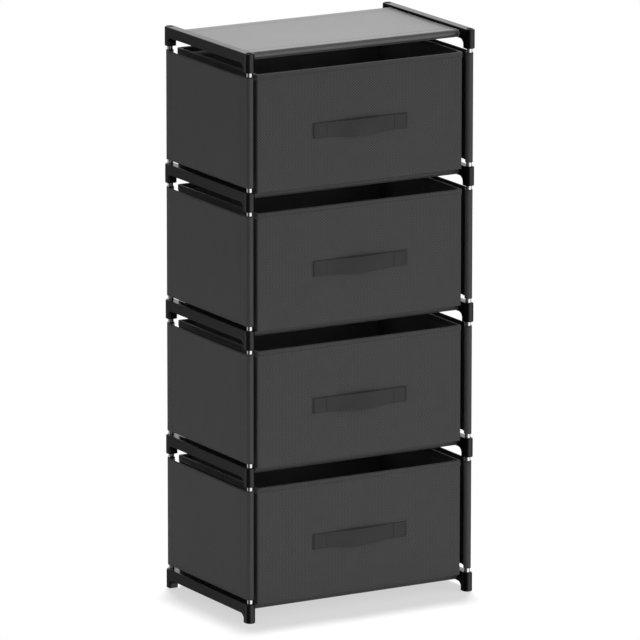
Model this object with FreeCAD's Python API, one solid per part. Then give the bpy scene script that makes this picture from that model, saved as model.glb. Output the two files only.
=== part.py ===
import FreeCAD, Part
import math
import os

from FreeCAD import Vector

# Four-tier drawer tower: moulded side brackets joined by steel tubes, with sewn
# cloth shelves and side panels on the tubes and four cloth drawers on the shelves.
# Millimetres, +Z up, the front faces -Y, the floor is Z = 0, and the origin is at
# the middle of the footprint.

# ---------------------------------------------------------------- driving dimensions
# Frame
post_spacing_x = 433.0         # left to right post axis
post_spacing_y = 276.5         # front to rear post axis
tier_height = 240.0            # one shelf to the next
level_names = ["foot", "lower", "middle", "upper", "top"]
tier_names = ["bottom", "lower", "upper", "top"]

# Steel tubes
tube_diameter = 10.0
tube_wall = 0.8

# Side brackets: a beam with a round-ended plan and a leg under each end
bracket_thickness = 18.0       # also the diameter of its rounded ends
beam_height = 18.0
leg_length = 15.8              # below the beam
leg_reach = 9.0                # from the post axis towards the middle of the beam
leg_corner_radius = 4.0
leg_root_radius = 8.0          # blend between leg and beam
leg_edge_radius = 1.5          # round the leg's lower end
beam_edge_radius = 2.2         # round the beam's top
socket_clearance = 0.05
upper_socket_depth = 13.0
lower_socket_depth = 17.0
recess_diameter = 9.6          # blind moulding recess in place of a socket
recess_depth = 3.5

# Stubs on the brackets' inner faces, with spigots that the shelf rails push over
rail_inset = 24.0              # rail axis from the post axis, towards the middle of the beam
rail_drop = 10.4               # rail axis below the top of the beam
stub_diameter = 10.4
stub_length = 0.5
spigot_length = 20.0
rail_end_clearance = 0.1

# Cloth shelves and side panels, each with a sewn sleeve along two edges
cloth_thickness = 1.3
sleeve_clearance = 0.3
shelf_end_gap = 0.2            # shelf cloth stops short of the rail's end
panel_gap_below = 7.4          # bare post above the lower bracket
panel_gap_above = 7.1          # bare post below the upper bracket

# Drawers, fitted between the posts and under the sleeves of the shelf above
drawer_side_gap = 14.4         # post axis to the drawer's side
drawer_front_proud = 1.0       # front face ahead of the post axis
drawer_rear_proud = 0.5        # rear face behind the post axis
drawer_lift = 0.3              # underside above the shelf cloth
drawer_head_gap = 21.5         # rim to the sleeves of the shelf above
drawer_corner_radius = 3.0
outer_cloth = 0.8
inner_cloth = 0.5
wall_board_thickness = 1.5
base_board_thickness = 2.5
board_clearance = 0.1          # each face of a wall board to its pocket
board_end_clearance = 0.5      # each end of a wall board to its pocket
base_board_clearance = 0.8     # each side of the base board
binding_thickness = 0.6
binding_height = 10.0

# Pull strap on each drawer front
strap_length = 186.0
strap_height = 27.0
strap_thickness = 1.6
strap_tab_length = 27.0        # sewn flat at each end
strap_bow = 10.6               # finger gap behind the middle
strap_centre_drop = 5.85       # below the middle of the front

# ---------------------------------------------------------------- derived sizes
tube_radius = tube_diameter / 2
post_radius = bracket_thickness / 2
bracket_height = leg_length + beam_height
sleeve_inner_radius = tube_radius + sleeve_clearance
sleeve_outer_radius = sleeve_inner_radius + cloth_thickness
rail_half_length = post_spacing_x / 2 - post_radius - stub_length - rail_end_clearance
wall_pocket = wall_board_thickness + 2 * board_clearance
drawer_wall = outer_cloth + wall_pocket + inner_cloth
drawer_width = post_spacing_x - 2 * drawer_side_gap
drawer_depth = post_spacing_y + drawer_front_proud + drawer_rear_proud
tier_opening = tier_height - 2 * sleeve_outer_radius    # between the sleeves of two shelves
drawer_height = tier_opening - drawer_lift - drawer_head_gap    # underside to rim

# The straps stand ahead of the posts, so the frame sits behind the origin by half of it.
strap_front = drawer_front_proud + strap_bow + strap_thickness
frame_middle_y = (strap_front - post_radius) / 2
front_post_y = frame_middle_y - post_spacing_y / 2
rear_post_y = frame_middle_y + post_spacing_y / 2
drawer_front_y = front_post_y - drawer_front_proud


def beam_top(level):
    """Height of the top of the beams at a level; level 0 is the foot level."""
    return level * tier_height + bracket_height


# ---------------------------------------------------------------- helpers
def prism(x0, x1, y0, y1, z0, z1):
    """Box between two corners."""
    return Part.makeBox(x1 - x0, y1 - y0, z1 - z0, Vector(x0, y0, z0))


def rounded_prism(x0, x1, y0, y1, z0, z1, radius):
    """Box with its four upright edges rounded."""
    box = prism(x0, x1, y0, y1, z0, z1)
    upright = [e for e in box.Edges if e.BoundBox.ZLength > (z1 - z0) / 2]
    return box.makeFillet(radius, upright)


def tube(start, direction, length):
    """Round steel tube."""
    outer = Part.makeCylinder(tube_radius, length, start, direction)
    inner = Part.makeCylinder(tube_radius - tube_wall, length, start, direction)
    return outer.cut(inner)


def closed_face(edges):
    """Flat face inside a closed chain of edges."""
    return Part.Face(Part.Wire(edges))


def line(a, b):
    """Straight edge."""
    return Part.LineSegment(a, b).toShape()


def arc(a, middle, b):
    """Circular edge through three points."""
    return Part.Arc(a, middle, b).toShape()


def save(shape, node):
    """Write one sub-part."""
    shape.exportStep("parts/" + node + ".step")


# ---------------------------------------------------------------- side brackets
def stadium_face(z):
    """Plan of a bracket: straight sides with half-round ends."""
    r = post_radius
    y0 = front_post_y
    y1 = rear_post_y
    return closed_face([
        line(Vector(-r, y1, z), Vector(-r, y0, z)),
        arc(Vector(-r, y0, z), Vector(0, y0 - r, z), Vector(r, y0, z)),
        line(Vector(r, y0, z), Vector(r, y1, z)),
        arc(Vector(r, y1, z), Vector(0, y1 + r, z), Vector(-r, y1, z)),
    ])


def leg_face(post_y, inward, z):
    """Plan of a leg: half round outside, rounded corners towards the beam's middle."""
    r = post_radius
    c = leg_corner_radius
    diagonal = c * (1 - math.sqrt(0.5))
    side_y = post_y + inward * (leg_reach - c)
    end_y = post_y + inward * leg_reach
    corner_y = end_y - inward * diagonal
    return closed_face([
        line(Vector(-r, side_y, z), Vector(-r, post_y, z)),
        arc(Vector(-r, post_y, z), Vector(0, post_y - inward * r, z), Vector(r, post_y, z)),
        line(Vector(r, post_y, z), Vector(r, side_y, z)),
        arc(Vector(r, side_y, z), Vector(r - diagonal, corner_y, z), Vector(r - c, end_y, z)),
        line(Vector(r - c, end_y, z), Vector(c - r, end_y, z)),
        arc(Vector(c - r, end_y, z), Vector(diagonal - r, corner_y, z), Vector(-r, side_y, z)),
    ])


def blended_leg(post_y, inward):
    """Leg under a block of beam, with the root blend run out past the beam's sides."""
    spare = leg_root_radius + 2
    reach = post_radius + spare
    block = prism(-reach, reach, post_y - reach, post_y + reach + leg_reach, leg_length, bracket_height)
    if inward < 0:
        block = prism(-reach, reach, post_y - reach - leg_reach, post_y + reach, leg_length, bracket_height)
    leg = leg_face(post_y, inward, 0).extrude(Vector(0, 0, leg_length))
    joined = block.fuse(leg).removeSplitter()
    root = [e for e in joined.Edges if is_root_edge(e, post_y)]
    return joined.makeFillet(leg_root_radius, root)


def is_root_edge(edge, post_y):
    """True for the edges where a leg meets the underside of the beam."""
    box = edge.BoundBox
    level = abs(box.ZMin - leg_length) < 0.01 and box.ZLength < 0.01
    close_x = max(abs(box.XMin), abs(box.XMax)) < post_radius + 0.01
    close_y = max(abs(box.YMin - post_y), abs(box.YMax - post_y)) < post_radius + leg_reach
    return level and close_x and close_y


def flat_edges_at(shape, z):
    """Level edges of a shape at one height."""
    found = []
    for edge in shape.Edges:
        if edge.BoundBox.ZLength < 0.01 and abs(edge.BoundBox.ZMin - z) < 0.01:
            found.append(edge)
    return found


def bracket(level, side):
    """One moulded bracket; side is -1 on the left and 1 on the right."""
    beam = stadium_face(leg_length).extrude(Vector(0, 0, beam_height))
    envelope = stadium_face(0).extrude(Vector(0, 0, bracket_height))
    body = beam
    for post_y, inward in ((front_post_y, 1), (rear_post_y, -1)):
        body = body.fuse(blended_leg(post_y, inward).common(envelope))
    body = body.removeSplitter()
    body = body.makeFillet(leg_edge_radius, flat_edges_at(body, 0))
    body = body.makeFillet(beam_edge_radius, flat_edges_at(body, bracket_height))
    for post_y, inward in ((front_post_y, 1), (rear_post_y, -1)):
        body = body.cut(upper_hollow(level, post_y))
        if level > 0:
            body = body.cut(lower_hollow(post_y))
        body = body.fuse(rail_stub(post_y + inward * rail_inset, -side))
    body.translate(Vector(side * post_spacing_x / 2, 0, level * tier_height))
    return body


def upper_hollow(level, post_y):
    """Socket for the post above, or a shallow recess where no post stands."""
    top_level = len(level_names) - 1
    depth = recess_depth if level == top_level else upper_socket_depth
    radius = recess_diameter / 2 if level == top_level else tube_radius + socket_clearance
    return Part.makeCylinder(radius, depth, Vector(0, post_y, bracket_height - depth))


def lower_hollow(post_y):
    """Socket for the post below."""
    return Part.makeCylinder(tube_radius + socket_clearance, lower_socket_depth, Vector(0, post_y, 0))


def rail_stub(y, inward):
    """Round stub on the inner face with a thinner spigot for the inside of a rail."""
    z = bracket_height - rail_drop
    root = post_radius / 2
    face = Vector(inward * root, y, z)
    axis = Vector(inward, 0, 0)
    spigot_radius = tube_radius - tube_wall - socket_clearance
    stub_reach = post_radius - root + stub_length
    stub = Part.makeCylinder(stub_diameter / 2, stub_reach, face, axis)
    spigot = Part.makeCylinder(spigot_radius, stub_reach + spigot_length, face, axis)
    return stub.fuse(spigot)


# ---------------------------------------------------------------- steel tubes
def post_pair(tier, side):
    """Front and rear post of one tier on one side, seated in the brackets' sockets."""
    foot_z = beam_top(tier) - upper_socket_depth
    head_z = (tier + 1) * tier_height + lower_socket_depth - rail_end_clearance
    x = side * post_spacing_x / 2
    up = Vector(0, 0, 1)
    return Part.makeCompound([
        tube(Vector(x, y, foot_z), up, head_z - foot_z) for y in (front_post_y, rear_post_y)
    ])


def rail_pair(level):
    """Front and rear shelf rail of one level."""
    z = beam_top(level) - rail_drop
    along = Vector(1, 0, 0)
    return Part.makeCompound([
        tube(Vector(-rail_half_length, y, z), along, 2 * rail_half_length)
        for y in (front_post_y + rail_inset, rear_post_y - rail_inset)
    ])


# ---------------------------------------------------------------- sewn cloth
def sleeved_sheet(span, length):
    """Sheet lying along X with a sleeve round each of two tubes that are span apart in Y.

    The tubes' axes are at Z = 0, and the sheet joins the tops of the sleeves.
    """
    half = span / 2
    start = Vector(-length / 2, 0, 0)
    along = Vector(1, 0, 0)
    top = sleeve_outer_radius
    sheet = prism(-length / 2, length / 2, -half, half, top - cloth_thickness, top)
    for y in (-half, half):
        sheet = sheet.fuse(Part.makeCylinder(sleeve_outer_radius, length, start + Vector(0, y, 0), along))
    for y in (-half, half):
        sheet = sheet.cut(Part.makeCylinder(sleeve_inner_radius, length, start + Vector(0, y, 0), along))
    return sheet.removeSplitter()


def shelf_cloth(level):
    """Cloth shelf round the front and rear rail of a level."""
    sheet = sleeved_sheet(post_spacing_y - 2 * rail_inset, 2 * (rail_half_length - shelf_end_gap))
    sheet.translate(Vector(0, frame_middle_y, beam_top(level) - rail_drop))
    return sheet


def side_panel(tier, side):
    """Cloth panel round the front and rear post of one side of a tier."""
    low = beam_top(tier) + panel_gap_below
    high = (tier + 1) * tier_height - panel_gap_above
    sheet = sleeved_sheet(post_spacing_y, high - low)
    sheet.rotate(Vector(0, 0, 0), Vector(0, 1, 0), side * 90)
    sheet.translate(Vector(side * post_spacing_x / 2, frame_middle_y, (low + high) / 2))
    return sheet


# ---------------------------------------------------------------- drawers
def drawer_base_z(tier):
    """Height of a drawer's underside."""
    shelf_top = beam_top(tier) - rail_drop + sleeve_outer_radius
    return shelf_top + drawer_lift


def drawer_outline(tier, inset, z0, z1):
    """Block of a drawer's plan, drawn in by inset on every side."""
    x = drawer_width / 2 - inset
    y0 = drawer_front_y + inset
    y1 = drawer_front_y + drawer_depth - inset
    radius = max(drawer_corner_radius - inset, 0.2)
    return rounded_prism(-x, x, y0, y1, z0, z1, radius)


def drawer_walls(offset, thickness, end_gap, z0, z1):
    """Four upright plates at one depth in the drawer's walls: front, rear, left, right."""
    x = drawer_width / 2
    y0 = drawer_front_y
    y1 = drawer_front_y + drawer_depth
    clear = drawer_wall + end_gap
    outer = offset
    inner = offset + thickness
    return [
        prism(clear - x, x - clear, y0 + outer, y0 + inner, z0, z1),
        prism(clear - x, x - clear, y1 - inner, y1 - outer, z0, z1),
        prism(outer - x, inner - x, y0 + clear, y1 - clear, z0, z1),
        prism(x - inner, x - outer, y0 + clear, y1 - clear, z0, z1),
    ]


def drawer_cover(tier):
    """Sewn cloth box with a board pocket in each wall."""
    z0 = drawer_base_z(tier)
    z1 = z0 + drawer_height - binding_thickness
    floor_z = z0 + outer_cloth
    cover = drawer_outline(tier, 0, z0, z1)
    cover = cover.cut(drawer_outline(tier, drawer_wall, floor_z, z1 + 1))
    for pocket in drawer_walls(outer_cloth, wall_pocket, 0, floor_z, z1 + 1):
        cover = cover.cut(pocket)
    return cover.removeSplitter()


def wall_boards(tier):
    """The four stiffening boards inside the pockets."""
    z0 = drawer_base_z(tier) + outer_cloth
    z1 = drawer_base_z(tier) + drawer_height - binding_thickness - board_end_clearance
    offset = outer_cloth + board_clearance
    return Part.makeCompound(drawer_walls(offset, wall_board_thickness, board_end_clearance, z0, z1))


def base_board(tier):
    """Loose board that keeps the drawer's floor flat."""
    z0 = drawer_base_z(tier) + outer_cloth
    inset = drawer_wall + base_board_clearance
    return drawer_outline(tier, inset, z0, z0 + base_board_thickness)


def rim_binding(tier):
    """Tape folded over the top of the four walls."""
    z1 = drawer_base_z(tier) + drawer_height
    z0 = z1 - binding_height
    wall_top = z1 - binding_thickness
    ring = drawer_outline(tier, -binding_thickness, z0, z1)
    ring = ring.cut(drawer_outline(tier, drawer_wall + binding_thickness, z0 - 1, z1 + 1))
    wall = drawer_outline(tier, 0, z0 - 1, wall_top)
    wall = wall.cut(drawer_outline(tier, drawer_wall, z0 - 2, wall_top + 1))
    return ring.cut(wall)


def pull_strap(tier):
    """Strap sewn flat at both ends, bowed away from the front between them."""
    end = strap_length / 2
    bend = end - strap_tab_length
    y = drawer_front_y
    t = strap_thickness
    bow = strap_bow
    middle_z = drawer_base_z(tier) + drawer_height / 2 - strap_centre_drop
    z = middle_z - strap_height / 2
    outline = closed_face([
        line(Vector(-end, y, z), Vector(-end, y - t, z)),
        line(Vector(-end, y - t, z), Vector(-bend, y - t, z)),
        arc(Vector(-bend, y - t, z), Vector(0, y - bow - t, z), Vector(bend, y - t, z)),
        line(Vector(bend, y - t, z), Vector(end, y - t, z)),
        line(Vector(end, y - t, z), Vector(end, y, z)),
        line(Vector(end, y, z), Vector(bend, y, z)),
        arc(Vector(bend, y, z), Vector(0, y - bow, z), Vector(-bend, y, z)),
        line(Vector(-bend, y, z), Vector(-end, y, z)),
    ])
    return outline.extrude(Vector(0, 0, strap_height))


# ---------------------------------------------------------------- build
os.makedirs("parts", exist_ok=True)

for level, level_name in enumerate(level_names):
    for side, side_name in ((-1, "left"), (1, "right")):
        save(bracket(level, side), level_name + "_bracket_" + side_name)
    save(rail_pair(level), level_name + "_shelf_rails")
    save(shelf_cloth(level), level_name + "_shelf_cloth")

for tier, tier_name in enumerate(tier_names):
    for side, side_name in ((-1, "left"), (1, "right")):
        save(post_pair(tier, side), tier_name + "_posts_" + side_name)
        save(side_panel(tier, side), tier_name + "_side_panel_" + side_name)
    save(drawer_cover(tier), tier_name + "_drawer_cover")
    save(wall_boards(tier), tier_name + "_drawer_wall_boards")
    save(base_board(tier), tier_name + "_drawer_base_board")
    save(rim_binding(tier), tier_name + "_drawer_rim_binding")
    save(pull_strap(tier), tier_name + "_drawer_pull_strap")
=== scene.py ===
import math

import bmesh
import bpy
from mathutils import Matrix, Vector, noise


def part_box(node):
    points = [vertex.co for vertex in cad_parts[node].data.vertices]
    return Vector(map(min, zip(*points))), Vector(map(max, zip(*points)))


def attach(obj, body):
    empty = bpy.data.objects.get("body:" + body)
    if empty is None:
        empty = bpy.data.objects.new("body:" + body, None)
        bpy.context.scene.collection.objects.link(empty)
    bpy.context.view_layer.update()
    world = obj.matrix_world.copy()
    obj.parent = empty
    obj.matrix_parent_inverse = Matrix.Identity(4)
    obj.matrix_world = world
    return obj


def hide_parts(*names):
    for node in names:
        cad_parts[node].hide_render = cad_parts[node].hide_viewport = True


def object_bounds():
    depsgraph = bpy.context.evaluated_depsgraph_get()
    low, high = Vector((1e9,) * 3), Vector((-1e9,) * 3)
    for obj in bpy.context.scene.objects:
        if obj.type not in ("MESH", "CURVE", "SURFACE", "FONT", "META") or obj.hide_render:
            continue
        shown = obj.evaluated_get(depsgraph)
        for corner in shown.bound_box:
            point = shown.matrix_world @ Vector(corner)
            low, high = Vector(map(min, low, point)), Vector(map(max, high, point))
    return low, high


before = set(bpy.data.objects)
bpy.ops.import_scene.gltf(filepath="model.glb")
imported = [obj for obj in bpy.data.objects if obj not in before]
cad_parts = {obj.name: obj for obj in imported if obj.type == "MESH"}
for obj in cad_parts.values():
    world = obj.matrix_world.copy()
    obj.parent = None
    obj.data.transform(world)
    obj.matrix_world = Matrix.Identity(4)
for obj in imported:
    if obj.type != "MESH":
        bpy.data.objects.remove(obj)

cad_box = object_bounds()

# Four-tier drawer tower. Lengths are metres, Z is up, the front faces -Y, and the
# floor is Z = 0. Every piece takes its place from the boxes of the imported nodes.

MM = 0.001
LEVELS = ["foot", "lower", "middle", "upper", "top"]
TIERS = ["bottom", "lower", "upper", "top"]
SIDES = {"left": -1, "right": 1}

# ---------------------------------------------------------------- thickness of the sewn work
CLOTH = 1.3 * MM               # doubled cloth of the shelves and side panels
LAYER_GAP = 0.05 * MM          # between two layers of cloth
OUTER_SKIN = 0.8 * MM
LINING = 0.5 * MM
WALL = 3.0 * MM                # drawer wall: skin, board and lining
BINDING = 0.6 * MM
STRAP = 1.6 * MM

# ---------------------------------------------------------------- camera
VIEW_AZIMUTH = math.radians(-29.945)
VIEW_ELEVATION = math.radians(13.032)
VIEW_ROLL = math.radians(0.04)
VIEW_DISTANCE = 14.356
VIEW_TARGET = Vector((0.0009, 0.0016, 0.4796))
LENS_MM = 467.85
SENSOR_MM = 36.0


def direction(azimuth, elevation):
    """Unit vector towards an azimuth, 0 at the front and 90 degrees on the right."""
    level = math.cos(elevation)
    return Vector((math.sin(azimuth) * level, -math.cos(azimuth) * level, math.sin(elevation)))


def add_camera():
    """Long lens to the left of the front, looking a little down."""
    back = direction(VIEW_AZIMUTH, VIEW_ELEVATION)
    data = bpy.data.cameras.new("camera")
    data.lens = LENS_MM
    data.sensor_width = SENSOR_MM
    camera = bpy.data.objects.new("camera", data)
    camera.rotation_mode = "QUATERNION"
    camera.location = VIEW_TARGET + back * VIEW_DISTANCE
    roll = Matrix.Rotation(VIEW_ROLL, 3, back).to_quaternion()
    camera.rotation_quaternion = roll @ (-back).to_track_quat("-Z", "Y")
    bpy.context.scene.collection.objects.link(camera)
    bpy.context.scene.camera = camera


# ---------------------------------------------------------------- shader nodes
# A Mix node's sockets share their names, so they go by number.
NUMBER_A, NUMBER_B = 2, 3
COLOUR_A, COLOUR_B = 6, 7
COLOUR_RESULT = 2


def linear(code):
    """An sRGB hex colour as linear RGBA."""
    parts = [int(code[i:i + 2], 16) / 255 for i in (1, 3, 5)]
    return [p / 12.92 if p <= 0.04045 else ((p + 0.055) / 1.055) ** 2.4 for p in parts] + [1.0]


def node(tree, kind, inputs=None, **settings):
    """Add a node: settings are its properties, inputs its sockets' values or links.

    A link comes from a socket, or from the first output of a node.
    """
    made = tree.nodes.new(kind)
    for name, value in settings.items():
        setattr(made, name, value)
    for socket, value in (inputs or {}).items():
        if isinstance(value, bpy.types.Node):
            value = value.outputs[0]
        if isinstance(value, bpy.types.NodeSocket):
            tree.links.new(value, made.inputs[socket])
        else:
            made.inputs[socket].default_value = value
    return made


def new_material(name):
    """Empty material and its tree."""
    material = bpy.data.materials.new(name)
    material.use_nodes = True
    material.node_tree.nodes.clear()
    return material, material.node_tree


def finish_material(material, shader):
    """Join the last shader to the material's output."""
    node(material.node_tree, "ShaderNodeOutputMaterial", {"Surface": shader})
    return material


# ---------------------------------------------------------------- studio
# A lamp's place is its azimuth and elevation from the tower's middle.
LAMP_DISTANCE = 2.6
KEY_PLACE = (math.radians(24), math.radians(0))
KEY_SIZE = (5.0, 3.4)
KEY_POWER = 49.8
SIDE_PLACE = (math.radians(-122), math.radians(0))
SIDE_SIZE = (1.5, 3.2)
SIDE_POWER = 6.8
TOP_PLACE = (math.radians(150), math.radians(85.4))
TOP_SPREAD = math.radians(3.4)
TOP_STRENGTH = 3.5

WHITE = linear("#ffffff")
FILL_STRENGTH = 0.26           # light of the surround on every piece
DIM_SURROUND = 0.145           # what a shiny piece mirrors of the surround: most of it,
BRIGHT_SURROUND = 1.1          # and its bright part
BRIGHT_SIDE = direction(math.radians(148), math.radians(15))
BRIGHT_EDGE = 0.74             # cosine of the angle from BRIGHT_SIDE where it starts to brighten
BRIGHT_CORE = 0.93             # and where it is brightest
FLAG_SIDE = direction(math.radians(-72), math.radians(-10))
FLAG_EDGE = 0.55               # cosine of the angle from FLAG_SIDE where it starts to darken
FLAG_CORE = 0.9                # and where it is darkest
FLAG_DEPTH = 0.6               # share of the light that the flag takes there

FLOOR_RADIUS = 2.2
FLOOR_SIDES = 96
PAPER_COLOUR = "#9a9a9a"
PAPER_LIFT = 0.59              # light that the paper gives off, which keeps the shadow pale
FADE_START = 0.34              # this far from the tower's middle the paper starts to turn white,
FADE_END = 0.6                 # and here it is as white as the surround


def add_world():
    """White surround with an even fill.

    Shiny pieces mirror a dim room, bright at the rear right and darkened by a flag on the left.
    """
    world = bpy.data.worlds.new("studio")
    world.use_nodes = True
    tree = world.node_tree
    tree.nodes.clear()
    path = node(tree, "ShaderNodeLightPath")
    ray = node(tree, "ShaderNodeTexCoord").outputs["Generated"]
    towards = node(tree, "ShaderNodeVectorMath", {0: ray, 1: BRIGHT_SIDE}, operation="DOT_PRODUCT")
    surround = node(tree, "ShaderNodeMapRange",
                    {"Value": towards.outputs["Value"],
                     "From Min": BRIGHT_EDGE, "From Max": BRIGHT_CORE,
                     "To Min": DIM_SURROUND, "To Max": BRIGHT_SURROUND},
                    interpolation_type="SMOOTHSTEP")
    sideways = node(tree, "ShaderNodeVectorMath", {0: ray, 1: FLAG_SIDE}, operation="DOT_PRODUCT")
    flag = node(tree, "ShaderNodeMapRange",
                {"Value": sideways.outputs["Value"],
                 "From Min": FLAG_EDGE, "From Max": FLAG_CORE,
                 "To Min": 1.0, "To Max": 1 - FLAG_DEPTH},
                interpolation_type="SMOOTHSTEP")
    mirrored = node(tree, "ShaderNodeMath", {0: surround, 1: flag}, operation="MULTIPLY")
    shiny = node(tree, "ShaderNodeMath",
                 {0: path.outputs["Is Glossy Ray"], 1: path.outputs["Is Transmission Ray"]},
                 operation="MAXIMUM")
    reflected = node(tree, "ShaderNodeMix",
                     {"Factor": shiny, NUMBER_A: FILL_STRENGTH, NUMBER_B: mirrored},
                     data_type="FLOAT")
    strength = node(tree, "ShaderNodeMix",
                    {"Factor": path.outputs["Is Camera Ray"], NUMBER_A: reflected, NUMBER_B: 1.0},
                    data_type="FLOAT")
    background = node(tree, "ShaderNodeBackground", {"Color": WHITE, "Strength": strength})
    node(tree, "ShaderNodeOutputWorld", {"Surface": background})
    bpy.context.scene.world = world


def hang_lamp(data, place):
    """Put a lamp at a place round the tower, aimed at its middle."""
    lamp = bpy.data.objects.new(data.name, data)
    away = direction(*place)
    lamp.location = Vector((0, 0, cad_box[1].z / 2)) + away * LAMP_DISTANCE
    lamp.rotation_mode = "QUATERNION"
    lamp.rotation_quaternion = (-away).to_track_quat("-Z", "Y")
    bpy.context.scene.collection.objects.link(lamp)
    return lamp


def add_softbox(name, place, size, power):
    """Large soft lamp, mirrored in the glossy pieces."""
    data = bpy.data.lights.new(name, "AREA")
    data.shape = "RECTANGLE"
    data.size, data.size_y = size
    data.energy = power
    hang_lamp(data, place)


def add_overhead():
    """Far lamp overhead, which keeps the shadow short; glossy pieces don't mirror it."""
    data = bpy.data.lights.new("overhead", "SUN")
    data.energy = TOP_STRENGTH
    data.angle = TOP_SPREAD
    hang_lamp(data, TOP_PLACE).visible_glossy = False


def floor_finish():
    """Sweep of matt studio paper: dull, and it runs out into the white surround.

    Shiny pieces mirror the surround through it.
    """
    material, tree = new_material("matt_white_sweep")
    path = node(tree, "ShaderNodeLightPath")
    place = node(tree, "ShaderNodeTexCoord")
    reach = node(tree, "ShaderNodeVectorMath", {0: place.outputs["Object"]}, operation="LENGTH")
    faded = node(tree, "ShaderNodeMapRange",
                 {"Value": reach.outputs["Value"], "From Min": FADE_START, "From Max": FADE_END},
                 interpolation_type="SMOOTHSTEP")
    shown = node(tree, "ShaderNodeMath", {0: path.outputs["Is Camera Ray"], 1: faded},
                 operation="MULTIPLY")
    paper = node(tree, "ShaderNodeBsdfDiffuse", {"Color": linear(PAPER_COLOUR)})
    lift = node(tree, "ShaderNodeEmission", {"Strength": PAPER_LIFT})
    lifted = node(tree, "ShaderNodeAddShader", {0: paper, 1: lift})
    white = node(tree, "ShaderNodeEmission", {"Color": WHITE, "Strength": 1.0})
    mixed = node(tree, "ShaderNodeMixShader", {0: shown, 1: lifted, 2: white})
    through = node(tree, "ShaderNodeBsdfTransparent")
    sweep = node(tree, "ShaderNodeMixShader",
                 {0: path.outputs["Is Glossy Ray"], 1: mixed, 2: through})
    return finish_material(material, sweep)


def add_floor():
    """Round of floor under the tower."""
    bm = bmesh.new()
    bmesh.ops.create_circle(bm, cap_ends=True, radius=FLOOR_RADIUS, segments=FLOOR_SIDES)
    mesh = bpy.data.meshes.new("floor")
    bm.to_mesh(mesh)
    bm.free()
    mesh.materials.append(floor_finish())
    floor = bpy.data.objects.new("floor", mesh)
    bpy.context.scene.collection.objects.link(floor)


# ---------------------------------------------------------------- cloths
WARP_MM = 2.84                 # coarse basket weave: one cell of warp
WEFT_MM = 2.36                 # one cell of weft
YARN_HEIGHT = 0.4 * MM         # bump of a yarn at full relief
SLUB_MM = 22.22                # length of a thicker or thinner stretch of yarn
SLUB_DETAIL = 3.0
SLUB_DARK = 0.92               # shade of the thinnest yarn
SLUB_LIGHT = 1.08              # and of the thickest
POLYMER_IOR = 1.5              # polyester and polypropylene


def weave(tree, warp_mm, weft_mm):
    """Over-and-under cells of a weave on the piece's own cloth coordinates, in metres.

    Returns 1 or 0 for a cell of warp or weft, and the height of the yarns.
    """
    flat = node(tree, "ShaderNodeUVMap", uv_map="cloth")
    cells = node(tree, "ShaderNodeMapping",
                 {"Vector": flat, "Scale": (1 / (warp_mm * MM), 1 / (weft_mm * MM), 0)})
    over = node(tree, "ShaderNodeTexChecker", {"Vector": cells, "Scale": 1.0})
    axes = node(tree, "ShaderNodeSeparateXYZ", {0: cells})
    crowns = []
    for axis in (axes.outputs["X"], axes.outputs["Y"]):
        turned = node(tree, "ShaderNodeMath", {0: axis, 1: math.pi}, operation="MULTIPLY")
        wave = node(tree, "ShaderNodeMath", {0: turned}, operation="SINE")
        crowns.append(node(tree, "ShaderNodeMath", {0: wave}, operation="ABSOLUTE"))
    height = node(tree, "ShaderNodeMath", {0: crowns[0], 1: crowns[1]}, operation="MULTIPLY")
    return over.outputs["Fac"], height


def woven_cloth(name, bright, dull, relief, roughness, sheen, gloss=0.3, fuzz=0.4,
                cell_mm=(WARP_MM, WEFT_MM)):
    """Plain-woven polyester: round yarns, bright where the warp lies on top.

    Its gloss is low from the front, and its fuzz brightens it at a glancing view.
    """
    material, tree = new_material(name)
    over, height = weave(tree, *cell_mm)
    place = node(tree, "ShaderNodeTexCoord")
    slub = node(tree, "ShaderNodeTexNoise",
                {"Vector": place.outputs["Object"], "Scale": 1 / (SLUB_MM * MM),
                 "Detail": SLUB_DETAIL})
    yarns = node(tree, "ShaderNodeMix",
                 {"Factor": over, COLOUR_A: linear(dull), COLOUR_B: linear(bright)},
                 data_type="RGBA")
    shade = node(tree, "ShaderNodeMapRange",
                 {"Value": slub, "To Min": SLUB_DARK, "To Max": SLUB_LIGHT})
    colour = node(tree, "ShaderNodeMix",
                  {"Factor": 1.0, COLOUR_A: yarns.outputs[COLOUR_RESULT], COLOUR_B: shade},
                  data_type="RGBA", blend_type="MULTIPLY")
    bump = node(tree, "ShaderNodeBump",
                {"Height": height, "Strength": relief, "Distance": YARN_HEIGHT})
    cloth = node(tree, "ShaderNodeBsdfPrincipled",
                 {"Base Color": colour.outputs[COLOUR_RESULT], "Roughness": roughness,
                  "IOR": POLYMER_IOR, "Specular IOR Level": gloss, "Sheen Weight": sheen,
                  "Sheen Roughness": fuzz, "Normal": bump})
    return finish_material(material, cloth)


# ---------------------------------------------------------------- plastic, chrome and board
PLASTIC_COLOUR = "#0a0a0a"
ETCH_MM = 1.111                # grain of the etched mould, drawn coarser than it is, to show
ETCH_DETAIL = 2.0
ETCH_RELIEF = 0.1
ETCH_HEIGHT = 0.1 * MM
HANDLING_MM = 33.33            # patch that is rubbed smoother or rougher
HANDLING_DETAIL = 4.0
RUBBED_ROUGHNESS = 0.25
FRESH_ROUGHNESS = 0.31
SATIN_GLOSS = 0.5
PAINTED_SHADE_GLOSS = 0.06              # on the inner faces: painted shade, the gloss taken off so that they look as dark as the shade inside the tower
SATIN_FACING = -0.15           # outward part of a face's normal: satin down to this,
PAINTED_SHADE_FACING = -0.5             # and painted shade, dull, from here on, where the face looks inwards
SHADED_MOUTH_REACH = 5.9 * MM         # recess over a post and a ring round its mouth, from the post's axis: painted shade, without gloss


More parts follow.
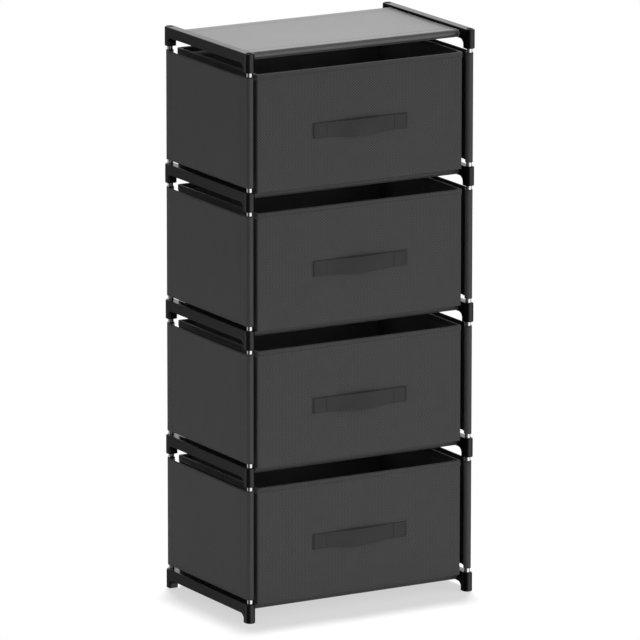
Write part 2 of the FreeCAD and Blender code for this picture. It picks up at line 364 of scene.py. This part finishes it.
def face_gloss(tree, place):
    """Gloss of a bracket's face: satin, and dull where it faces the tower's middle, as painted
    shade.
    """
    shape = node(tree, "ShaderNodeNewGeometry")
    facing = node(tree, "ShaderNodeSeparateXYZ", {0: shape.outputs["True Normal"]})
    across = node(tree, "ShaderNodeSeparateXYZ", {0: place.outputs["Object"]})
    side = node(tree, "ShaderNodeMath", {0: across.outputs["X"]}, operation="SIGN")
    outwards = node(tree, "ShaderNodeMath", {0: facing.outputs["X"], 1: side}, operation="MULTIPLY")
    return node(tree, "ShaderNodeMapRange",
                {"Value": outwards, "From Min": SATIN_FACING, "From Max": PAINTED_SHADE_FACING,
                 "To Min": SATIN_GLOSS, "To Max": PAINTED_SHADE_GLOSS})


def off_painted_hollow(tree, place):
    """0 inside the round recesses over the posts and on a ring round their mouths, which are
    painted shade without gloss, 1 elsewhere.

    The posts mirror each other, so the plan is folded on to its rear right quarter.
    """
    low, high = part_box("top_posts_right")
    radius = (high.x - low.x) / 2
    middle = (low.y + high.y) / 2
    about = node(tree, "ShaderNodeVectorMath",
                 {0: place.outputs["Object"], 1: (0, middle, 0)}, operation="SUBTRACT")
    folded = node(tree, "ShaderNodeVectorMath", {0: about}, operation="ABSOLUTE")
    axis = (high.x - radius, high.y - radius - middle, 0)
    off_axis = node(tree, "ShaderNodeVectorMath", {0: folded, 1: axis}, operation="SUBTRACT")
    plan = node(tree, "ShaderNodeVectorMath", {0: off_axis, 1: (1, 1, 0)}, operation="MULTIPLY")
    reach = node(tree, "ShaderNodeVectorMath", {0: plan}, operation="LENGTH")
    return node(tree, "ShaderNodeMath", {0: reach.outputs["Value"], 1: SHADED_MOUTH_REACH},
                operation="GREATER_THAN")


def satin_plastic():
    """Black moulded polypropylene: satin and finely etched, with painted shade: no gloss on its
    inner faces and in and round its hollows.
    """
    material, tree = new_material("satin_black_polypropylene")
    place = node(tree, "ShaderNodeTexCoord")
    grain = node(tree, "ShaderNodeTexNoise",
                 {"Vector": place.outputs["Object"], "Scale": 1 / (ETCH_MM * MM),
                  "Detail": ETCH_DETAIL})
    handling = node(tree, "ShaderNodeTexNoise",
                    {"Vector": place.outputs["Object"], "Scale": 1 / (HANDLING_MM * MM),
                     "Detail": HANDLING_DETAIL})
    roughness = node(tree, "ShaderNodeMapRange",
                     {"Value": handling, "To Min": RUBBED_ROUGHNESS, "To Max": FRESH_ROUGHNESS})
    bump = node(tree, "ShaderNodeBump",
                {"Height": grain, "Strength": ETCH_RELIEF, "Distance": ETCH_HEIGHT})
    # the gloss is cut off on the inner faces and in and round the recesses: painted shade
    gloss = node(tree, "ShaderNodeMath", {0: face_gloss(tree, place), 1: off_painted_hollow(tree, place)},
                 operation="MULTIPLY")
    plastic = node(tree, "ShaderNodeBsdfPrincipled",
                   {"Base Color": linear(PLASTIC_COLOUR), "Roughness": roughness,
                    "IOR": POLYMER_IOR, "Specular IOR Level": gloss, "Normal": bump})
    return finish_material(material, plastic)


CHROME_COLOUR = "#ebebeb"
CLOUD_MM = 2.5                 # patch where the plate is brighter or duller
CLOUD_DETAIL = 2.0
BRIGHT_ROUGHNESS = 0.05
CLOUDED_ROUGHNESS = 0.12


def chromed_steel():
    """Bright chrome plate on drawn steel tube: mirrors the room, clouded a little in patches."""
    material, tree = new_material("chromed_steel_tube")
    place = node(tree, "ShaderNodeTexCoord")
    clouding = node(tree, "ShaderNodeTexNoise",
                    {"Vector": place.outputs["Object"], "Scale": 1 / (CLOUD_MM * MM),
                     "Detail": CLOUD_DETAIL})
    roughness = node(tree, "ShaderNodeMapRange",
                     {"Value": clouding, "To Min": BRIGHT_ROUGHNESS, "To Max": CLOUDED_ROUGHNESS})
    metal = node(tree, "ShaderNodeBsdfPrincipled",
                 {"Base Color": linear(CHROME_COLOUR), "Metallic": 1.0, "Roughness": roughness})
    return finish_material(material, metal)


FIBRE_MM = 3.846               # clump of fibres in the board
FIBRE_DETAIL = 6.0
FIBRE_DARK = (0.35, "#252526")   # place on the colour ramp, and colour
FIBRE_LIGHT = (0.65, "#39393a")
FIBRE_RELIEF = 0.4
FIBRE_HEIGHT = 0.2 * MM
BOARD_ROUGHNESS = 0.85


def grey_board():
    """Pressed grey board: dull, and flecked with clumps of fibre."""
    material, tree = new_material("pressed_grey_board")
    place = node(tree, "ShaderNodeTexCoord")
    fibres = node(tree, "ShaderNodeTexNoise",
                  {"Vector": place.outputs["Object"], "Scale": 1 / (FIBRE_MM * MM),
                   "Detail": FIBRE_DETAIL})
    colour = node(tree, "ShaderNodeValToRGB", {"Fac": fibres})
    for stop, (position, code) in zip(colour.color_ramp.elements, (FIBRE_DARK, FIBRE_LIGHT)):
        stop.position = position
        stop.color = linear(code)
    bump = node(tree, "ShaderNodeBump",
                {"Height": fibres, "Strength": FIBRE_RELIEF, "Distance": FIBRE_HEIGHT})
    board = node(tree, "ShaderNodeBsdfPrincipled",
                 {"Base Color": colour, "Roughness": BOARD_ROUGHNESS, "Normal": bump})
    return finish_material(material, board)


def make_finishes():
    """Every finish on the tower, by the work it is used for."""
    return {
        "plastic": satin_plastic(),
        "chrome": chromed_steel(),
        "board": grey_board(),
        # the panels' cloth again for the top shelf, nearly smooth, paler and with more sheen and
        # gloss: a painted highlight for the light the top catches
        "lit_top_cloth": woven_cloth("oxford_cloth_lit_top_copy", "#505050", "#3a3a3a", relief=0.15,
                                 roughness=0.28, sheen=1.0, gloss=0.8, fuzz=0.25),
        # the cloth of the side panels and lower shelves: even and dull, with the weave just showing
        "panel_cloth": woven_cloth("panel_oxford_cloth", "#494949", "#323232", relief=0.4,
                                   roughness=0.5, sheen=0.1, gloss=0.4),
        # thicker yarns: a clear check of light and dark cells
        "drawer_cloth": woven_cloth("drawer_basket_weave", "#4f4f4f", "#353535", relief=0.6,
                                    roughness=0.65, sheen=0.05),
        # bonded fibres with fine pressed dimples: paler than the skin, and quite matt
        "lining": woven_cloth("spunbond_lining", "#626262", "#575757", relief=0.3,
                              roughness=0.9, sheen=0.0, cell_mm=(1.2, 1.2)),
        # tape of the drawer's weave, brighter where its fold turns away
        "binding": woven_cloth("binding_tape", "#4b4b4b", "#323232", relief=0.6,
                               roughness=0.6, sheen=0.3),
        # close flat webbing: darker and plainer than the cloth behind it
        "webbing": woven_cloth("strap_webbing", "#3b3b3b", "#333333", relief=0.5,
                               roughness=0.6, sheen=0.0, cell_mm=(1.6, 2.2)),
        # nearly black, so that the seams are fine dark lines
        "thread": woven_cloth("sewing_thread", "#1a1a1a", "#141414", relief=0.2,
                              roughness=0.5, sheen=0.0, cell_mm=(0.6, 0.6)),
    }


# ---------------------------------------------------------------- pieces
def lay_cloth_map(bm, coordinates):
    """Give every face corner its place on the flat cloth, in metres."""
    layer = bm.loops.layers.uv.new("cloth")
    for face in bm.faces:
        for loop in face.loops:
            loop[layer].uv = coordinates(loop.vert, face)


def boxed(vert, face):
    """Cloth coordinates of a face that lies on one side of a box."""
    x, y, z = vert.co
    away = [abs(n) for n in face.normal]
    side = away.index(max(away))
    return ((y, z), (x, z), (x, y))[side]


def add_piece(name, bm, body, finish, stands_for=()):
    """Turn a bmesh into a shown piece that rides on a body."""
    mesh = bpy.data.meshes.new(name)
    bm.to_mesh(mesh)
    bm.free()
    mesh.shade_smooth()
    mesh.materials.append(finish)
    piece = bpy.data.objects.new(name, mesh)
    bpy.context.scene.collection.objects.link(piece)
    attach(piece, body)
    if stands_for:
        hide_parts(*stands_for)
    return piece


def thicken(piece, thickness, offset):
    """Give a sheet its thickness: offset 0 is centred, -1 inwards and 1 outwards."""
    solidify = piece.modifiers.new("thickness", "SOLIDIFY")
    solidify.thickness = thickness
    solidify.offset = offset
    solidify.use_even_offset = True


def all_parts(bm):
    """Everything in a bmesh, for the operators that take it all."""
    return bm.verts[:] + bm.edges[:] + bm.faces[:]


def only(kind, parts):
    """The vertices or the edges among the parts that an operator made."""
    return [part for part in parts if isinstance(part, kind)]


def round_edges(bm, edges, width, segments):
    """Round some edges of a mesh."""
    bmesh.ops.bevel(bm, geom=edges, offset=width, offset_type="OFFSET", segments=segments,
                    profile=0.5, affect="EDGES", material=-1)


def soften(x, y, amount, grain, seed):
    """Slow uneven rise and fall of cloth."""
    return amount * noise.noise(Vector((x / grain, y / grain, seed)))


# ---------------------------------------------------------------- stitches
STITCH_PITCH = 3.6 * MM
STITCH_LENGTH = 2.7 * MM
STITCH_WIDTH = 0.7 * MM
STITCH_HEIGHT = 0.45 * MM


def stitch_line(bm, start, end, width=STITCH_WIDTH, lift=None):
    """A row of stitches from start to end, each half sunk in the cloth.

    lift(x, y) raises them with a sheet that isn't flat.
    """
    run = end - start
    count = max(1, round(run.length / STITCH_PITCH))
    turn = run.to_track_quat("X", "Z").to_matrix().to_4x4()
    size = Matrix.Diagonal((STITCH_LENGTH / 2, width / 2, STITCH_HEIGHT / 2, 1))
    for i in range(count):
        place = start + run * ((i + 0.5) / count)
        if lift:
            place += Vector((0, 0, lift(place.x, place.y)))
        bmesh.ops.create_icosphere(bm, subdivisions=1, radius=1,
                                   matrix=Matrix.Translation(place) @ turn @ size)


# ---------------------------------------------------------------- sleeved cloth
SEAM_REACH = 17 * MM           # sleeve seam from the axis of its tube
SEAM_FLAP = 7 * MM             # seam allowance past the stitches
SHEET_STEPS = 20               # from a sheet's middle to its sleeve, and again round the sleeve
SHEET_CUTS = 47                # across its length
MERGE_REACH = 0.001 * MM       # points of the two halves this close are one


def hang_chain(bm, start, points):
    """Straight runs of profile on from a vertex."""
    last = start
    for point in points:
        made = bmesh.ops.extrude_vert_indiv(bm, verts=[last])["verts"][0]
        made.co = point
        last = made
    return last


def wrap_tube(bm, start, centre, angle):
    """Carry the profile round a tube and return its last vertex."""
    spun = bmesh.ops.spin(bm, geom=[start], cent=centre, axis=(1, 0, 0), angle=angle,
                          steps=SHEET_STEPS)
    return only(bmesh.types.BMVert, spun["geom_last"])[0]


def measure_along(start, layer):
    """Store each profile vertex's distance from the first one along the cloth."""
    last, before = start, None
    while True:
        onward = [e for e in last.link_edges if e is not before]
        if not onward:
            return last[layer]
        before = onward[0]
        following = before.other_vert(last)
        following[layer] = last[layer] + before.calc_length()
        last = following


def sleeved_sheet(span, length, radius, lift):
    """Sheet along X with a sleeve round a tube at each edge, span apart in Y.

    The tubes' axes are at Z = 0. lift(x, y) raises the sheet between the sleeves. Half its
    profile is drawn from the middle over the tube and back to the seam, then mirrored.
    Returns the sheet and the width that it is cut to.
    """
    bm = bmesh.new()
    layer = bm.verts.layers.float.new("along")
    middle = radius - CLOTH / 2
    centre = Vector((0, -span / 2, 0))
    seam = Vector((0, SEAM_REACH, middle - CLOTH - LAYER_GAP))
    leave = math.atan2(seam.z, seam.y) - math.acos(middle / seam.length)
    wrap = math.radians(270) + leave   # from the tube's top to where the cloth leaves for the seam
    start = bm.verts.new((-length / 2, 0, middle))
    tangent = centre + Vector((-length / 2, 0, middle))
    stretch = [start.co.lerp(tangent, i / SHEET_STEPS) for i in range(1, SHEET_STEPS + 1)]
    top = hang_chain(bm, start, stretch)
    under = wrap_tube(bm, top, centre, wrap)
    sewn = centre + seam + Vector((-length / 2, 0, 0))
    hang_chain(bm, under, [under.co.lerp(sewn, 0.5), sewn, sewn + Vector((0, SEAM_FLAP, 0))])
    flat_width = 2 * measure_along(start, layer)
    bmesh.ops.mirror(bm, geom=all_parts(bm), matrix=Matrix(), merge_dist=MERGE_REACH, axis="Y")
    drawn = bmesh.ops.extrude_edge_only(bm, edges=bm.edges[:])["geom"]
    bmesh.ops.translate(bm, verts=only(bmesh.types.BMVert, drawn), vec=(length, 0, 0))
    lengthwise = [e for e in bm.edges if abs(e.verts[0].co.x - e.verts[1].co.x) > length / 2]
    bmesh.ops.subdivide_edges(bm, edges=lengthwise, cuts=SHEET_CUTS, use_grid_fill=True)
    bmesh.ops.recalc_face_normals(bm, faces=bm.faces[:])
    lay_cloth_map(bm, lambda vert, face: (vert.co.x, math.copysign(vert[layer], vert.co.y)))
    for vert in bm.verts:
        if vert.co.z > 0:
            vert.co.z += lift(vert.co.x, vert.co.y)
    return bm, flat_width


def sleeve_stitches(span, length, radius, lift):
    """The two seams that close the sleeves, on the outer face of the sheet."""
    bm = bmesh.new()
    for side in (-1, 1):
        y = side * (span / 2 - SEAM_REACH)
        stitch_line(bm, Vector((-length / 2, y, radius)), Vector((length / 2, y, radius)),
                    lift=lift)
    return bm


def sew_sheet(name, node_name, finish, thread, place, size, lift):
    """Sheet sleeved on two tubes, with its seams, in the place of a node.

    size is the span, length and radius that its sleeves need.
    """
    bm, flat_width = sleeved_sheet(*size, lift)
    bmesh.ops.transform(bm, matrix=place, verts=bm.verts[:])
    sheet = add_piece(name + "_sheet", bm, "frame", finish, [node_name])
    thicken(sheet, CLOTH, 0)
    bm = sleeve_stitches(*size, lift)
    bmesh.ops.transform(bm, matrix=place, verts=bm.verts[:])
    seams = add_piece(name + "_seams", bm, "frame", thread)


SHELF_SAG = 0.7 * MM
SHELF_RIPPLE = 0.25 * MM       # uneven rise and fall
SHELF_GRAIN = 90 * MM          # and how far apart


def shelf_cloths(finishes):
    """Shelf sheets stretched over their two rails, with a little sag.

    The top one is a paler copy of the cloth with more sheen, a painted highlight; the others are
    plain, as the side panels are.
    """
    for index, level in enumerate(LEVELS):
        node_name = level + "_shelf_cloth"
        low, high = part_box(node_name)
        radius = (high.z - low.z) / 2
        span = high.y - low.y - 2 * radius
        length = high.x - low.x

        def lift(x, y):
            """Ripple on a sag that dies away at the rails."""
            across = max(0.0, 1 - (2 * y / span) ** 2)
            return across * (soften(x, y, SHELF_RIPPLE, SHELF_GRAIN, index) - SHELF_SAG)

        # one cloth on every shelf; the top one takes its paler, glossier copy as painted light
        finish = finishes["lit_top_cloth" if level == "top" else "panel_cloth"]
        sew_sheet(level + "_shelf", node_name, finish, finishes["thread"],
                  Matrix.Translation((low + high) / 2), (span, length, radius), lift)


PANEL_BULGE = 2.2 * MM         # slack cloth stands this far out between the posts
PANEL_BULGE_REACH = 14 * MM    # and gets there over about this distance
PANEL_HEM_REACH = 25 * MM      # the bottom hem is taut, and the slack starts above it
PANEL_RIPPLE = 0.3 * MM        # uneven rise and fall
PANEL_GRAIN = 70 * MM          # and how far apart
PANEL_RIPPLE_REACH = 30 * MM   # it dies away this close to a sleeve
PANEL_SEED = 10


def side_panels(finishes):
    """Side sheets sleeved on the front and rear post, bellied a little outwards."""
    for index, tier in enumerate(TIERS):
        for side_name, side in SIDES.items():
            node_name = tier + "_side_panel_" + side_name
            low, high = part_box(node_name)
            radius = (high.x - low.x) / 2
            span = high.y - low.y - 2 * radius
            length = high.z - low.z

            def lift(x, y):
                """Ripple on a belly that dies away at the posts and the bottom hem."""
                inside = max(0.0, span / 2 - abs(y))
                above_hem = max(0.0, length / 2 - side * x)
                belly = PANEL_BULGE * (1 - math.exp(-inside / PANEL_BULGE_REACH))
                belly *= 1 - math.exp(-above_hem / PANEL_HEM_REACH)
                ripple = soften(x, y, PANEL_RIPPLE, PANEL_GRAIN, PANEL_SEED + index * side)
                return belly + min(1.0, inside / PANEL_RIPPLE_REACH) * ripple

            upright = Matrix.Rotation(side * math.pi / 2, 4, "Y")
            sew_sheet(tier + "_" + side_name + "_panel", node_name,
                      finishes["panel_cloth"], finishes["thread"],
                      Matrix.Translation((low + high) / 2) @ upright, (span, length, radius), lift)


# ---------------------------------------------------------------- drawers
DRAWER_CORNER = 3.0 * MM
CORNER_SEGMENTS = 5
DRAWER_FOOT = 1.0 * MM         # rounding along the drawer's lower edges
FOOT_SEGMENTS = 3
LINING_CORNER = 1 * MM
SKIN_GRID = 12 * MM            # squares of mesh in the skin
LINING_GRID = 20 * MM          # and in the lining
PUCKER = 0.12 * MM             # the skin's uneven lie on its boards
PUCKER_GRAIN = 55 * MM
SKIN_SEED = 20


def open_box(low, high, corner, foot=None):
    """Four walls with rounded corners and no lid, on a floor where its rounding is given."""
    size = high - low
    bm = bmesh.new()
    place = Matrix.Translation((low + high) / 2) @ Matrix.Diagonal((*size, 1))
    bmesh.ops.create_cube(bm, size=1, matrix=place)
    lids = [f for f in bm.faces if f.normal.z > 0.5 or (foot is None and f.normal.z < -0.5)]
    bmesh.ops.delete(bm, geom=lids, context="FACES_ONLY")
    upright = [e for e in bm.edges if abs(e.verts[0].co.z - e.verts[1].co.z) > size.z / 2]
    round_edges(bm, upright, corner, CORNER_SEGMENTS)
    if foot is not None:
        level = [e for e in bm.edges
                 if not e.is_boundary and max(v.co.z for v in e.verts) < low.z + corner]
        round_edges(bm, level, foot, FOOT_SEGMENTS)
    return bm


def cut_grid(bm, low, high, step):
    """Slice a mesh into squares, so that its cloth can be moved."""
    for axis in range(3):
        count = max(1, round((high[axis] - low[axis]) / step))
        normal = Vector((0, 0, 0))
        normal[axis] = 1
        for i in range(1, count):
            place = low.lerp(high, i / count)
            bmesh.ops.bisect_plane(bm, geom=all_parts(bm), plane_co=place, plane_no=normal)


def pucker(bm, seed):
    """Move cloth in and out of its board a little."""
    bm.normal_update()
    moves = {v: v.normal * soften(v.co.x + v.co.y, v.co.z, PUCKER, PUCKER_GRAIN, seed)
             for v in bm.verts}
    for vert, move in moves.items():
        vert.co += move


def skin_box(tier):
    """Lowest and highest corner of a drawer's skin, which goes under the base board too."""
    low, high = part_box(tier + "_drawer_cover")
    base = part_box(tier + "_drawer_base_board")[0].z - OUTER_SKIN
    return Vector((low.x, low.y, base)), high


def drawer_skin(tier, finishes, seed):
    """Outer cloth of a drawer, over its boards."""
    low, high = skin_box(tier)
    bm = open_box(low, high, DRAWER_CORNER, DRAWER_FOOT)
    cut_grid(bm, low, high, SKIN_GRID)
    pucker(bm, seed)
    lay_cloth_map(bm, boxed)
    skin = add_piece(tier + "_drawer_skin", bm, tier + "_drawer", finishes["drawer_cloth"],
                     [tier + "_drawer_cover"])
    thicken(skin, OUTER_SKIN, -1)
    return skin


def drawer_lining(tier, finishes):
    """Inner cloth of a drawer's walls, on the other face of the wall boards."""
    outer_low, outer_high = skin_box(tier)
    inset = Vector((WALL, WALL, 0))
    low = outer_low + inset + Vector((0, 0, OUTER_SKIN))
    high = outer_high - inset
    bm = open_box(low, high, LINING_CORNER)
    cut_grid(bm, low, high, LINING_GRID)
    lay_cloth_map(bm, boxed)
    lining = add_piece(tier + "_drawer_lining", bm, tier + "_drawer", finishes["lining"])
    thicken(lining, LINING, 1)
    return lining


TAPE_FOLD = 1.4 * MM           # rounding of the tape's two folds
FOLD_SEGMENTS = 4
RIM_STITCH_RISE = 2.5 * MM     # seam from the tape's lower edge
RIM_STITCH_START = 4 * MM      # and from a corner


def folded_tape(low, high):
    """Tape up the outside of a rim, over it and down the inside."""
    bm = open_box(low, high, DRAWER_CORNER + BINDING)
    size = high - low
    middle = (low + high) / 2
    across = WALL + 2 * BINDING
    rim = [e for e in bm.edges if e.is_boundary and e.verts[0].co.z > middle.z]
    made = bmesh.ops.extrude_edge_only(bm, edges=rim)["geom"]
    shrink = Vector((1 - 2 * across / size.x, 1 - 2 * across / size.y, 1))
    bmesh.ops.scale(bm, vec=shrink, space=Matrix.Translation(-middle),
                    verts=only(bmesh.types.BMVert, made))
    upper = [e for e in bm.edges if e.verts[0].co.z > middle.z and e.verts[1].co.z > middle.z]
    inner_rim = [e for e in only(bmesh.types.BMEdge, made) if e.is_boundary]
    made = bmesh.ops.extrude_edge_only(bm, edges=inner_rim)["geom"]
    bmesh.ops.translate(bm, verts=only(bmesh.types.BMVert, made), vec=(0, 0, -size.z))
    # the two folds lie between a level face and an upright one
    folds = [e for e in upper if len(e.link_faces) == 2
             and abs(e.link_faces[0].normal.z - e.link_faces[1].normal.z) > 0.5]
    round_edges(bm, folds, TAPE_FOLD, FOLD_SEGMENTS)
    bmesh.ops.recalc_face_normals(bm, faces=bm.faces[:])
    return bm


def rim_binding(tier, finishes):
    """Tape folded over the rim and sewn through the wall."""
    body = tier + "_drawer"
    low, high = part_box(tier + "_drawer_rim_binding")
    bm = folded_tape(low, high)
    lay_cloth_map(bm, boxed)
    tape = add_piece(tier + "_drawer_rim_tape", bm, body, finishes["binding"],
                     [tier + "_drawer_rim_binding"])
    thicken(tape, BINDING, -1)

    bm = bmesh.new()
    z = low.z + RIM_STITCH_RISE
    plan = ((low.x, low.y), (high.x, low.y), (high.x, high.y), (low.x, high.y))
    corners = [Vector((x, y, z)) for x, y in plan]
    for corner, following in zip(corners, corners[1:] + corners[:1]):
        onward = (following - corner).normalized() * RIM_STITCH_START
        stitch_line(bm, corner + onward, following - onward)
    seams = add_piece(tier + "_drawer_rim_stitches", bm, body, finishes["thread"])


STRAP_TAB = 27 * MM            # sewn length at each end of a strap
STRAP_TOP_BOW = 4.0 * MM       # gap behind the upper edge
STRAP_SAG = 1.0 * MM           # droop of the lower edge
STRAP_ROUNDING = 0.35 * MM
ROUNDING_SEGMENTS = 2
STRAP_STEPS = 64               # along a strap
STRAP_ROWS = 8                 # and across it
BAR_WIDTH = 2.2 * MM           # rows of wide stitches across a strap
BAR_END = 3 * MM               # outer row from the strap's end
BAR_TAB = 0.5 * MM             # inner row from the end of the tab
BAR_MARGIN = 2 * MM            # both rows from the strap's edges


def pull_strap(tier, finishes):
    """Webbing sewn down at both ends; its lower edge stands further out than its upper."""
    body = tier + "_drawer"
    low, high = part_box(tier + "_drawer_pull_strap")
    bottom_bow = high.y - low.y - STRAP
    half = (high.x - low.x) / 2 - STRAP_TAB

    def shaped(place):
        """Where a point of the flat webbing goes when the strap hangs."""
        span = max(0.0, 1 - abs(place.x) / half)
        swell = math.sin(span * math.pi / 2) ** 2
        down = (high.z - place.z) / (high.z - low.z)
        bow = swell * (STRAP_TOP_BOW + (bottom_bow - STRAP_TOP_BOW) * down)
        return Vector((place.x, place.y - bow, place.z - STRAP_SAG * swell * down))

    bm = bmesh.new()
    size = Matrix.Diagonal((high.x - low.x, high.z - low.z, 1, 1)) @ Matrix.Scale(0.5, 4)
    place = Matrix.Translation((0, high.y - STRAP / 2, (low.z + high.z) / 2))
    turn = Matrix.Rotation(math.pi / 2, 4, "X")
    bmesh.ops.create_grid(bm, x_segments=STRAP_STEPS, y_segments=STRAP_ROWS, size=1,
                          matrix=place @ turn @ size)
    lay_cloth_map(bm, boxed)
    for vert in bm.verts:
        vert.co = shaped(vert.co)
    strap = add_piece(tier + "_drawer_strap", bm, body, finishes["webbing"],
                      [tier + "_drawer_pull_strap"])
    thicken(strap, STRAP, 0)
    rounding = strap.modifiers.new("rounding", "BEVEL")
    rounding.width = STRAP_ROUNDING
    rounding.segments = ROUNDING_SEGMENTS
    rounding.limit_method = "ANGLE"

    bm = bmesh.new()
    y = high.y - STRAP
    for side in (-1, 1):
        for x in (high.x - BAR_END, half + BAR_TAB):
            stitch_line(bm, Vector((side * x, y, low.z + BAR_MARGIN)),
                        Vector((side * x, y, high.z - BAR_MARGIN)), BAR_WIDTH)
    seams = add_piece(tier + "_drawer_strap_stitches", bm, body, finishes["thread"])


def drawers(finishes):
    """The four cloth drawers."""
    for index, tier in enumerate(TIERS):
        skin = drawer_skin(tier, finishes, SKIN_SEED + index)
        lining = drawer_lining(tier, finishes)
        rim_binding(tier, finishes)
        pull_strap(tier, finishes)


# ---------------------------------------------------------------- carried-over nodes
def dress_frame(finishes):
    """Finish the moulded, drawn and pressed pieces."""
    endings = {
        "_bracket_left": "plastic", "_bracket_right": "plastic",
        "_posts_left": "chrome", "_posts_right": "chrome", "_shelf_rails": "chrome",
        "_wall_boards": "board", "_base_board": "board",
    }
    for name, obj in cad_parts.items():
        for ending, finish in endings.items():
            if name.endswith(ending):
                obj.data.materials.clear()
                obj.data.materials.append(finishes[finish])


# ---------------------------------------------------------------- scene
add_camera()
add_world()
add_floor()
add_softbox("key_softbox", KEY_PLACE, KEY_SIZE, KEY_POWER)
add_softbox("side_softbox", SIDE_PLACE, SIDE_SIZE, SIDE_POWER)
add_overhead()
finishes = make_finishes()
shelf_cloths(finishes)
side_panels(finishes)
drawers(finishes)
dress_frame(finishes)
bpy.context.scene.view_settings.view_transform = "Standard"
